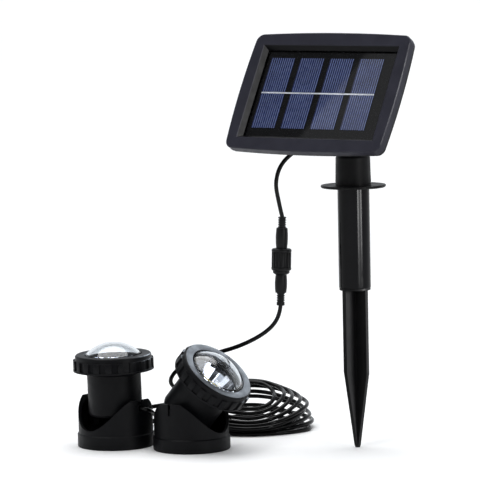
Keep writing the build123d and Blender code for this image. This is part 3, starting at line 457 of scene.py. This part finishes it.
def show(shape: bmesh.types.BMesh, name: str, body: str, slot: Slot, paint: Paint, place: Matrix,
         smooth: float = 35.0) -> bpy.types.Object:
    """Makes a finished bmesh a piece that rides on a body.

    Args:
        shape: the mesh, in its own drawing position. It is freed.
        name: the piece's name.
        body: the body that it rides on.
        slot: the material slot that it takes its finish from.
        paint: the materials.
        place: where the drawing goes in the frame.
        smooth: faces that meet at less than this many degrees are shaded as one.

    Returns:
        The piece.
    """
    bmesh.ops.remove_doubles(shape, verts=shape.verts, dist=0.000002)
    bmesh.ops.recalc_face_normals(shape, faces=shape.faces)
    bmesh.ops.transform(shape, matrix=place, verts=shape.verts)
    mesh = bpy.data.meshes.new(name)
    shape.to_mesh(mesh)
    shape.free()
    mesh.shade_smooth()
    mesh.set_sharp_from_angle(angle=math.radians(smooth))
    mesh.materials.append(paint.material(slot.value))
    piece = bpy.data.objects.new(name, mesh)
    bpy.context.scene.collection.objects.link(piece)
    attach(piece, body)
    LOG.info("made %s with %d faces", name, len(mesh.polygons))
    return piece


def spun(outline: Sequence[tuple[float, float]], steps: int, shape: bmesh.types.BMesh | None = None) -> bmesh.types.BMesh:
    """Spins a closed outline about Z.

    Args:
        outline: (radius, height) points in millimetres, in order round the section.
        steps: the number of steps in the full turn.
        shape: a mesh to add to, or a new one.

    Returns:
        The mesh, in metres.
    """
    shape = shape or bmesh.new()
    verts = [shape.verts.new((r * MM, 0, z * MM)) for r, z in outline]
    edges = [shape.edges.new((a, b)) for a, b in zip(verts, verts[1:] + verts[:1])]
    bmesh.ops.spin(shape, geom=verts + edges, cent=(0, 0, 0), axis=(0, 0, 1), angle=math.tau,
                   steps=steps, use_merge=True, use_duplicate=False)
    bmesh.ops.remove_doubles(shape, verts=shape.verts, dist=0.000002)
    bmesh.ops.recalc_face_normals(shape, faces=shape.faces)
    return shape


def raise_ribs(shape: bmesh.types.BMesh, count: int, share: float, radius: tuple[float, float],
               height: tuple[float, float], rise: float) -> None:
    """Raises ribs on the outside of a spun ring.

    Args:
        shape: the ring.
        count: the number of ribs.
        share: the part of each pitch that a rib takes.
        radius: between which radii the outside lies, in millimetres.
        height: between which heights the ribs stand, in millimetres.
        rise: how far they stand out, in millimetres.
    """
    chosen = []
    for face in shape.faces:
        centre = face.calc_center_median()
        turn = math.degrees(math.atan2(centre.y, centre.x)) % (360 / count)
        out = math.hypot(centre.x, centre.y) / MM
        if (turn < share * 360 / count and radius[0] < out < radius[1]
                and height[0] < centre.z / MM < height[1]):
            chosen.append(face)
    made = bmesh.ops.extrude_face_region(shape, geom=chosen)
    bmesh.ops.delete(shape, geom=chosen, context="FACES_ONLY")
    for vert in (v for v in made["geom"] if isinstance(v, bmesh.types.BMVert)):
        flat = Vector((vert.co.x, vert.co.y, 0)).normalized()
        vert.co += flat * rise * MM
    bmesh.ops.recalc_face_normals(shape, faces=shape.faces)


def soften(shape: bmesh.types.BMesh, angle: float, width: float, segments: int = 2) -> None:
    """Bevels the edges of a mesh that turn by more than an angle.

    Args:
        shape: the mesh.
        angle: the least turn, in degrees.
        width: the bevel's width, in millimetres.
        segments: the bevel's segments.
    """
    sharp = [e for e in shape.edges if len(e.link_faces) == 2
             and e.calc_face_angle(0.0) > math.radians(angle)]
    bmesh.ops.bevel(shape, geom=sharp, offset=width * MM, offset_type="OFFSET", segments=segments,
                    profile=0.5, affect="EDGES", material=-1, clamp_overlap=True)


def tapered_boot(length: float, start: float, end: float, ribs: int, bore: float) -> list[tuple[float, float]]:
    """The section of a ribbed strain relief that runs up Z from the origin.

    Args:
        length: its length, in millimetres.
        start: its radius at the origin.
        end: its radius at the tip.
        ribs: the number of grooves in it.
        bore: the radius of the cable through it.

    Returns:
        The closed section as (radius, height) points.
    """
    section = [(bore, 0.0), (start, 0.0)]
    pitch = length / (ribs + 1)
    for n in range(ribs):
        z = pitch * (n + 0.7)
        radius = start + (end - start) * z / length
        groove = bore + (radius - bore) * 0.35
        section += [(radius, z), (groove, z + pitch * 0.12), (groove, z + pitch * 0.42),
                    (radius - 0.02, z + pitch * 0.54)]
    return section + [(end, length - 0.4), (end - 0.25, length), (bore, length)]


def facing(origin: Sequence[float], direction: Sequence[float]) -> Matrix:
    """Turns a drawing's Z to a direction and puts it at a point."""
    turn = Vector(direction).normalized().to_track_quat("Z", "Y").to_matrix().to_4x4()
    return Matrix.Translation(Vector(origin)) @ turn


# ---------------------------------------------------------------- camera and studio
@dataclass
class Camera:
    """A long lens a little above the set, turned slightly about its own axis."""

    aim: Point = (-0.0927, 0.0, 0.172)
    distance: float = 2.69
    drop: float = 5.9
    roll: float = -1.18
    lens: float = 248.5

    def place(self) -> None:
        """Makes the camera."""
        data = bpy.data.cameras.new("camera")
        data.lens = self.lens
        data.sensor_width = 36.0
        data.clip_start = 0.05
        data.clip_end = 100.0
        camera = bpy.data.objects.new("camera", data)
        turn = Matrix.Rotation(math.radians(90 - self.drop), 4, "X")
        back = turn @ Vector((0, 0, self.distance))
        camera.matrix_world = (Matrix.Translation(Vector(self.aim) + back) @ turn
                               @ Matrix.Rotation(math.radians(self.roll), 4, "Z"))
        bpy.context.scene.collection.objects.link(camera)
        bpy.context.scene.camera = camera


@dataclass
class Softbox:
    """A soft rectangular light, on everything or only on the pieces that it is flagged for."""

    name: str
    at: Point
    aim: Point
    width: float
    height: float
    power: float
    upright: Point = (0.0, 0.0, 1.0)
    only: tuple[str, ...] = ()
    colour: Colour = (1.0, 1.0, 1.0)

    def place(self) -> None:
        """Makes the light."""
        data = bpy.data.lights.new(self.name, "AREA")
        data.shape = "RECTANGLE"
        data.size = self.width
        data.size_y = self.height
        data.energy = self.power
        data.color = self.colour
        lamp = bpy.data.objects.new(self.name, data)
        if self.only:
            flagged = bpy.data.collections.new(f"{self.name} flags")
            for name in self.only:
                flagged.objects.link(frame["nodes"].get(name) or bpy.data.objects[name])
            lamp.light_linking.receiver_collection = flagged
        lamp.visible_camera = False
        back = (Vector(self.at) - Vector(self.aim)).normalized()
        side = Vector(self.upright).cross(back).normalized()
        turn = Matrix((side, back.cross(side), back)).transposed().to_4x4()
        lamp.matrix_world = Matrix.Translation(Vector(self.at)) @ turn
        bpy.context.scene.collection.objects.link(lamp)


GLOW_PIECES = ("cell_board", "solar_cells")


@dataclass
class Studio:
    """A pale sweep of floor, a light room behind the set and a dim one before it."""

    floor_size: float = 60.0
    floor_colour: Colour = (0.965, 0.967, 0.97)
    sun_strength: float = 2.45
    glow_distance: float = 1.2
    glow_size: float = 0.8
    glow_power: float = 2.2

    def build(self, panel: PanelAxes) -> None:
        """Makes the floor, the room and the lights.

        Args:
            panel: the panel's axes, for the light that it mirrors.
        """
        self.floor()
        self.room()
        sun = bpy.data.lights.new("sky", "SUN")
        sun.energy = self.sun_strength
        sun.angle = math.radians(60)
        holder = bpy.data.objects.new("sky", sun)
        holder.matrix_world = Matrix.Rotation(math.radians(-12), 4, "X") @ Matrix.Rotation(
            math.radians(-3), 4, "Y")
        bpy.context.scene.collection.objects.link(holder)
        middle = (-0.10, 0.03, 0.12)
        Softbox("key", (-1.3, -1.7, 1.7), middle, 1.1, 1.1, 18.0).place()
        Softbox("strip", (0.853, -0.981, 0.52), (0.0, 0.0, 0.52), 0.30, 1.0, 5.0).place()
        Softbox("tube strip", (0.853, -0.981, 0.52), (0.0, 0.0, 0.52), 0.75, 1.0, 45.0,
                only=("stake_tube",)).place()
        Softbox("spike side", (1.48, -0.61, 0.38), (0.0, 0.0, 0.3), 0.6, 0.7, 55.0,
                only=("ground_spike",)).place()
        Softbox("bezel edge", (0.79, -1.08, 1.23), (0.06, -0.05, 0.28), 0.3, 0.3, 12.0,
                only=("panel_bezel",)).place()
        Softbox("ring face", (0.64, 1.04, 0.99), middle, 1.0, 1.0, 34.0,
                only=("left_ribbed_ring", "right_ribbed_ring"), colour=(0.82, 0.90, 1.0)).place()
        self.glow(panel)

    def glow(self, panel: PanelAxes) -> None:
        """The softbox that the panel's cover mirrors over its lower right half.

        Args:
            panel: the panel's axes.
        """
        view = (panel.centre - bpy.context.scene.camera.matrix_world.translation).normalized()
        mirror = view - 2 * view.dot(panel.outward) * panel.outward
        across = panel.across - panel.across.dot(mirror) * mirror
        upward = panel.upward - panel.upward.dot(mirror) * mirror
        edge = (across * 0.463 + upward * 0.886).normalized()
        away = edge.cross(mirror).normalized()
        away = away if away.dot(across) > 0 else -away
        on_edge = panel.centre + mirror * self.glow_distance + across * 0.017
        at = on_edge + away * self.glow_size / 2
        Softbox("panel glow", tuple(at), tuple(at - mirror), self.glow_size, self.glow_size,
                self.glow_power, tuple(edge), GLOW_PIECES).place()

    def floor(self) -> None:
        """A large plain floor."""
        shape = bmesh.new()
        bmesh.ops.create_grid(shape, x_segments=1, y_segments=1, size=self.floor_size / 2)
        mesh = bpy.data.meshes.new("studio_floor")
        shape.to_mesh(mesh)
        shape.free()
        graph = Graph("pale floor")
        cloud = graph.spread(graph.noise(0.6), 0.0, 1.0)
        graph.join(graph.mix(cloud, self.floor_colour, tuple(c * 0.99 for c in self.floor_colour)), "Base Color")
        graph.value("Roughness", 0.8)
        graph.value("Specular IOR Level", 0.2)
        mesh.materials.append(graph.material)
        floor = bpy.data.objects.new("studio_floor", mesh)
        bpy.context.scene.collection.objects.link(floor)

    def room(self) -> None:
        """A world that is light behind the set, dim overhead and darker on the camera's side."""
        world = bpy.data.worlds.new("room")
        bpy.context.scene.world = world
        world.use_nodes = True
        nodes, links = world.node_tree.nodes, world.node_tree.links
        place = nodes.new("ShaderNodeTexCoord")
        parts = nodes.new("ShaderNodeSeparateXYZ")
        links.new(place.outputs["Generated"], parts.inputs[0])
        depth = nodes.new("ShaderNodeMapRange")
        depth.interpolation_type = "SMOOTHSTEP"
        for name, number in (("From Min", -0.75), ("From Max", 0.15), ("To Min", 0.16), ("To Max", 1.0)):
            depth.inputs[name].default_value = number
        links.new(parts.outputs["Y"], depth.inputs["Value"])
        rise = nodes.new("ShaderNodeMapRange")
        rise.interpolation_type = "SMOOTHSTEP"
        for name, number in (("From Min", 0.25), ("From Max", 0.7), ("To Min", 1.0), ("To Max", 0.28)):
            rise.inputs[name].default_value = number
        links.new(parts.outputs["Z"], rise.inputs["Value"])
        both = nodes.new("ShaderNodeMath")
        both.operation = "MULTIPLY"
        links.new(depth.outputs["Result"], both.inputs[0])
        links.new(rise.outputs["Result"], both.inputs[1])
        ground = nodes["Background"]
        ground.inputs["Color"].default_value = (0.93, 0.965, 1.0, 1.0)
        links.new(both.outputs[0], ground.inputs["Strength"])


# ---------------------------------------------------------------- cable
CABLE_DIAMETER = 0.0034
GLAND_TIP = (-0.01876, 0.01314, 0.2500)
CONNECTOR_TOP = (-0.0578, 0.0220, 0.1880)
CONNECTOR_FOOT = (-0.0605, 0.0220, 0.1153)
SPLITTER_FACE = (-0.1740, 0.1315, 0.0040)
LEFT_PORT = (-0.1960, 0.1278, 0.0040)
RIGHT_PORT = (-0.1960, 0.1352, 0.0040)
LEFT_SLEEVE = (-0.18265, 0.01977, 0.0335)
RIGHT_SLEEVE = (-0.12255, 0.02934, 0.0335)

UPPER_ROUTE = [
    GLAND_TIP,
    (-0.0312, 0.0214, 0.2500),
    (-0.0476, 0.0234, 0.2412),
    (-0.0586, 0.0226, 0.2308),
    (-0.0630, 0.0220, 0.2165),
    (-0.0609, 0.0220, 0.2025),
    CONNECTOR_TOP,
]
TRUNK_ROUTE = [
    CONNECTOR_FOOT,
    (-0.0615, 0.0223, 0.1072),
    (-0.0680, 0.0245, 0.0968),
    (-0.0806, 0.0285, 0.0876),
    (-0.0970, 0.0335, 0.0798),
    (-0.1140, 0.0415, 0.0743),
    (-0.1310, 0.0490, 0.0680),
    (-0.1460, 0.0555, 0.0605),
    (-0.1540, 0.0620, 0.0500),
    (-0.1515, 0.0725, 0.0420),
    (-0.1455, 0.0840, 0.0375),
    (-0.1395, 0.0955, 0.0350),
]
FEED_ROUTE = [
    (-0.1384, 0.1215, 0.0036),
    (-0.1475, 0.1290, 0.0036),
    (-0.1600, 0.1326, 0.0038),
    SPLITTER_FACE,
]
LEFT_ROUTE = [
    LEFT_SLEEVE,
    (-0.1752, 0.0122, 0.0335),
    (-0.1706, 0.0132, 0.0322),
    (-0.1685, 0.0186, 0.0302),
    (-0.1666, 0.0270, 0.0266),
    (-0.1624, 0.0400, 0.0200),
    (-0.1606, 0.0540, 0.0110),
    (-0.1645, 0.0700, 0.0042),
    (-0.1770, 0.0840, 0.0022),
    (-0.1940, 0.0920, 0.0020),
    (-0.2090, 0.1020, 0.0020),
    (-0.2150, 0.1150, 0.0022),
    (-0.2070, 0.1265, 0.0032),
    LEFT_PORT,
]
RIGHT_ROUTE = [
    RIGHT_SLEEVE,
    (-0.1122, 0.0441, 0.0335),
    (-0.1085, 0.0545, 0.0334),
    (-0.1128, 0.0642, 0.0332),
    (-0.1235, 0.0682, 0.0326),
    (-0.1380, 0.0695, 0.0302),
    (-0.1520, 0.0722, 0.0280),
    (-0.1670, 0.0774, 0.0252),
    (-0.1840, 0.0860, 0.0214),
    (-0.2020, 0.0970, 0.0156),
    (-0.2170, 0.1085, 0.0096),
    (-0.2240, 0.1210, 0.0050),
    (-0.2205, 0.1335, 0.0032),
    (-0.2095, 0.1382, 0.0034),
    RIGHT_PORT,
]


@dataclass(frozen=True)
class Turn:
    """One turn of the loose coil, travelled from its left side over the back to the right and front.

    Each side has a (reach from the centre, height) pair, in millimetres.
    """

    left: tuple[float, float]
    back: tuple[float, float]
    right: tuple[float, float]
    front: tuple[float, float]
    flare: float = 0.0
    pinch: float = 0.0


@dataclass
class Coil:
    """The loose coil of spare cable: turns that lean up at the back on turns that lie flat.

    A turn may flare out at its right front, and may be pinched in at its left front.
    """

    centre: tuple[float, float] = (-86.0, 108.0)
    steps: int = 16
    turns: tuple[Turn, ...] = (
        Turn((50.0, 35.5), (27.0, 36.0), (20.0, 28.0), (28.0, 20.5)),
        Turn((54.0, 31.5), (32.0, 36.4), (28.5, 29.6), (32.0, 17.0)),
        Turn((49.0, 26.8), (37.0, 34.8), (35.5, 27.6), (36.0, 13.5)),
        Turn((54.0, 23.0), (42.0, 33.2), (42.5, 24.6), (40.0, 10.5)),
        Turn((49.0, 19.4), (46.0, 30.2), (48.5, 20.2), (43.5, 8.2)),
        Turn((53.0, 15.8), (41.0, 26.0), (45.5, 15.6), (46.5, 6.2), pinch=1.0),
        Turn((48.0, 12.4), (45.0, 21.2), (50.5, 11.2), (41.0, 3.4), pinch=3.0),
        Turn((53.0, 9.0), (38.0, 14.5), (41.0, 7.0), (36.5, 5.4), pinch=3.0),
        Turn((47.0, 5.6), (44.0, 9.6), (53.0, 5.8), (33.0, 1.8)),
        Turn((43.0, 2.0), (38.5, 5.0), (45.0, 1.8), (44.5, 1.8), flare=11.0, pinch=6.0),
    )
    last: tuple[float, float] = (53.0, 2.4)

    def points(self) -> list[Point]:
        """The turns' points, in metres.

        Returns:
            The points in the order that the cable takes, steps to a turn.
        """
        out = []
        for number, turn in enumerate(self.turns):
            after = self.turns[number + 1].left if number + 1 < len(self.turns) else self.last
            stations = (turn.left, turn.back, turn.right, turn.front, after)
            for step in range(self.steps):
                quarter, share = divmod(4 * step / self.steps, 1.0)
                near, far = stations[int(quarter)], stations[int(quarter) + 1]
                weight = math.sin(share * math.pi / 2) ** 2
                reach = near[0] * (1 - weight) + far[0] * weight
                height = near[1] * (1 - weight) + far[1] * weight
                angle = math.pi - math.tau * step / self.steps
                bearing = math.degrees(angle)
                reach += turn.flare * math.exp(-((bearing + 28) / 18) ** 2)
                reach -= turn.pinch * math.exp(-((bearing + 128) / 24) ** 2)
                out.append(((self.centre[0] + reach * math.cos(angle)) * MM,
                            (self.centre[1] + reach * math.sin(angle)) * MM, height * MM))
        out.append(((self.centre[0] - self.last[0]) * MM, self.centre[1] * MM, self.last[1] * MM))
        return out


@dataclass
class Cable:
    """One free length of cable, laid on the route that its frame solids follow."""

    name: str
    route: list[Point]
    stands_for: tuple[str, ...]
    length: float
    far_end: str
    with_pieces: tuple[str, ...] = ()
    lay: str = "loose"

    def make(self, paint: Paint) -> bpy.types.Object:
        """Lays the cable as one smooth tube.

        Args:
            paint: the materials.

        Returns:
            The cable's piece.
        """
        curve = bpy.data.curves.new(self.name, "CURVE")
        curve.dimensions = "3D"
        curve.bevel_depth = CABLE_DIAMETER / 2
        curve.bevel_resolution = 4
        curve.resolution_u = 6
        curve.use_fill_caps = True
        spline = curve.splines.new("NURBS")
        spline.points.add(len(self.route) - 1)
        for point, place in zip(spline.points, self.route):
            point.co = (*place, 1.0)
        spline.order_u = 3
        spline.use_endpoint_u = True
        curve.materials.append(paint.material(Slot.CABLE.value))
        cable = bpy.data.objects.new(self.name, curve)
        bpy.context.scene.collection.objects.link(cable)
        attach(cable, "root")
        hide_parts(*self.stands_for)
        LOG.info("laid %s over %d points", self.name, len(self.route))
        return cable


@dataclass
class Leads:
    """The whole run of cable, from the stake over its connector and coil to both lamps."""

    splitter_size: tuple[float, float, float] = (22.0, 15.0, 8.0)

    def build(self, paint: Paint) -> None:
        """Makes the cables, the coil and the splitter.

        Args:
            paint: the materials.
        """
        self.splitter(paint)
        Cable("upper_cable", UPPER_ROUTE, ("upper_lead",), 0.086, "connector",
              ("plug_body", "connector_seal", "plug_pins", "socket_body", "knurled_nut"), "hanging").make(paint)
        trunk = TRUNK_ROUTE + Coil().points() + FEED_ROUTE
        Cable("trunk_cable", trunk, ("trunk_lead", "cable_coil", "splitter_feed"), 2.8, "fitting",
              ("moulded_splitter",), "coiled").make(paint)
        Cable("left_lamp_cable", LEFT_ROUTE, ("left_lamp_lead",), 0.168, "fitting", ("left_port_boot",)).make(paint)
        Cable("right_lamp_cable", RIGHT_ROUTE, ("right_lamp_lead",), 0.205, "fitting", ("right_port_boot",)).make(paint)

    def splitter(self, paint: Paint) -> None:
        """The moulded block where the trunk divides, with a tapered boot on each cable."""
        length, width, height = (s * MM for s in self.splitter_size)
        shape = bmesh.new()
        bmesh.ops.create_cube(shape, size=1.0)
        bmesh.ops.scale(shape, vec=(length, width, height), verts=shape.verts)
        upright = [e for e in shape.edges if abs(e.verts[0].co.z - e.verts[1].co.z) > height / 2]
        bmesh.ops.bevel(shape, geom=upright, offset=3.0 * MM, offset_type="OFFSET", segments=6,
                        profile=0.5, affect="EDGES", material=-1)
        soften(shape, 60, 0.9, 3)
        low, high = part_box("cable_splitter")
        block = show(shape, "moulded_splitter", "root", Slot.CONNECTOR, paint,
                     Matrix.Translation((low + high) / 2))
        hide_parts("cable_splitter")
        boots = (("trunk_port_boot", SPLITTER_FACE, (1.0, 0.05, 0.0)),
                 ("left_port_boot", LEFT_PORT, (-1.0, -0.10, -0.05)),
                 ("right_port_boot", RIGHT_PORT, (-1.0, 0.18, -0.04)))
        for name, at, direction in boots:
            section = tapered_boot(8.0, 3.1, 2.1, 3, CABLE_DIAMETER / 2 / MM)
            show(spun(section, 32), name, "root", Slot.CONNECTOR, paint, facing(at, direction))


# ---------------------------------------------------------------- lamps
@dataclass
class Lamp:
    """One spotlight: its chromed reflector and its ribbed lens ring, drawn upright on its base.

    Heights are above the base's underside and radii from the lamp's axis, in millimetres.
    """

    side: str
    hinge_height: float = 33.5
    reflector_throat: float = 8.5
    reflector_foot: float = 45.6
    reflector_mouth: float = 19.2
    reflector_rim: float = 69.6
    facets: int = 22
    ring_foot: float = 63.2
    ring_top: float = 76.4
    ring_ribs: int = 20
    ring_radius: float = 31.55
    rib_radius: float = 33.4
    valley_radius: float = 31.9
    opening_radius: float = 23.7
    thread_radius: float = 28.75

    def place(self) -> Matrix:
        """Where the upright drawing goes: on the lamp's hinge, leaned as its head is."""
        hinge = joint(f"{self.side}_lamp_tilt")
        up = Vector(joint(f"{self.side}_ring_turn")["axis"]).normalized()
        across = Vector(hinge["axis"]).normalized()
        deep = up.cross(across)
        turn = Matrix((across, deep, up)).transposed().to_4x4()
        return (Matrix.Translation(Vector(hinge["pos_m"])) @ turn
                @ Matrix.Translation((0, 0, -self.hinge_height * MM)))

    def build(self, paint: Paint) -> None:
        """Makes the lamp's new pieces.

        Args:
            paint: the materials.
        """
        self.reflector(paint)
        self.lens_ring(paint)

    def reflector(self, paint: Paint) -> None:
        """The faceted bowl: flat panes in rows, on a thin smooth back."""
        throat, mouth, foot, rim = (self.reflector_throat, self.reflector_mouth,
                                    self.reflector_foot, self.reflector_rim)
        rows = 6
        bowl = []
        for row in range(rows + 1):
            share = row / rows
            bowl.append((throat + (mouth - throat) * share ** 0.62, foot + 0.2 + (rim - foot - 0.2) * share))
        back = [(23.9, rim), (23.9, rim - 1.2), (mouth + 1.0, rim - 1.2)]
        outside = [(r + 1.0, z - 0.3) for r, z in reversed(bowl[1:-1])] + [(throat + 1.0, foot)]
        shape = spun(bowl + back + outside, self.facets)
        piece = show(shape, f"{self.side}_faceted_reflector", f"{self.side}_head", Slot.CHROME, paint,
                     self.place(), smooth=2.0)
        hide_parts(f"{self.side}_reflector")

    def lens_ring(self, paint: Paint) -> None:
        """The screwed ring with twenty grip ribs between a foot ledge and a plain top band."""
        top, foot = self.ring_top, self.ring_foot
        section = [
            (self.rib_radius, foot), (self.rib_radius, foot + 1.5), (self.valley_radius, foot + 1.5),
            (self.valley_radius, top - 4.0), (self.ring_radius, top - 4.0), (self.ring_radius, top - 0.9),
            (self.ring_radius - 0.9, top), (self.opening_radius + 0.5, top),
            (self.opening_radius, top - 0.5), (self.opening_radius, top - 3.1),
            (self.thread_radius, top - 3.1), (self.thread_radius, foot)]
        shape = spun(section, self.ring_ribs * 10)
        raise_ribs(shape, self.ring_ribs, 0.5, (self.valley_radius - 0.2, self.valley_radius + 0.2),
                   (foot + 1.6, top - 4.1), self.rib_radius - self.valley_radius - 0.1)
        soften(shape, 40, 0.3)
        piece = show(shape, f"{self.side}_ribbed_ring", f"{self.side}_ring", Slot.LAMP, paint, self.place())
        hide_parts(f"{self.side}_lens_ring")


# ---------------------------------------------------------------- connector
@dataclass
class CouplingNut:
    """The connector's knurled nut. Distances run down the connector from its upper end, in millimetres."""

    top: float = 26.0
    length: float = 18.0
    radius: float = 8.15
    waist: float = 7.35
    bore: float = 6.25
    neck: float = 4.55
    grips: int = 18

    def build(self, paint: Paint) -> None:
        """Makes the nut.

        Args:
            paint: the materials.
        """
        start, end = -self.top, -self.top - self.length
        section = [
            (self.neck, start), (self.radius - 0.9, start), (self.radius, start - 0.9),
            (self.radius, start - 2.6), (self.waist, start - 2.9), (self.waist, end + 2.9),
            (self.radius, end + 2.6), (self.radius, end + 0.9), (self.radius - 0.9, end),
            (self.bore, end), (self.bore, start - 2.1), (self.neck, start - 2.1)]
        shape = spun(section, self.grips * 6)
        raise_ribs(shape, self.grips, 0.5, (self.waist - 0.2, self.waist + 0.2),
                   (end + 3.0, start - 3.0), 0.65)
        soften(shape, 40, 0.18)
        axis = Vector(CONNECTOR_TOP) - Vector(CONNECTOR_FOOT)
        nut = show(shape, "knurled_nut", "coupling", Slot.NUT, paint, facing(CONNECTOR_TOP, axis))
        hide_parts("coupling_nut")


def main() -> None:
    """Builds the scene in order."""
    logging.basicConfig(level=logging.INFO)
    bpy.context.scene.view_settings.view_transform = "Standard"
    bpy.context.scene.view_settings.gamma = DISPLAY_GAMMA
    Camera().place()
    panel = PanelAxes()
    paint = Paint(panel)
    CouplingNut().build(paint)
    Leads().build(paint)
    for side in ("left", "right"):
        Lamp(side).build(paint)
    paint.dress_frame()
    Studio().build(panel)


if __name__ == "__main__":
    main()
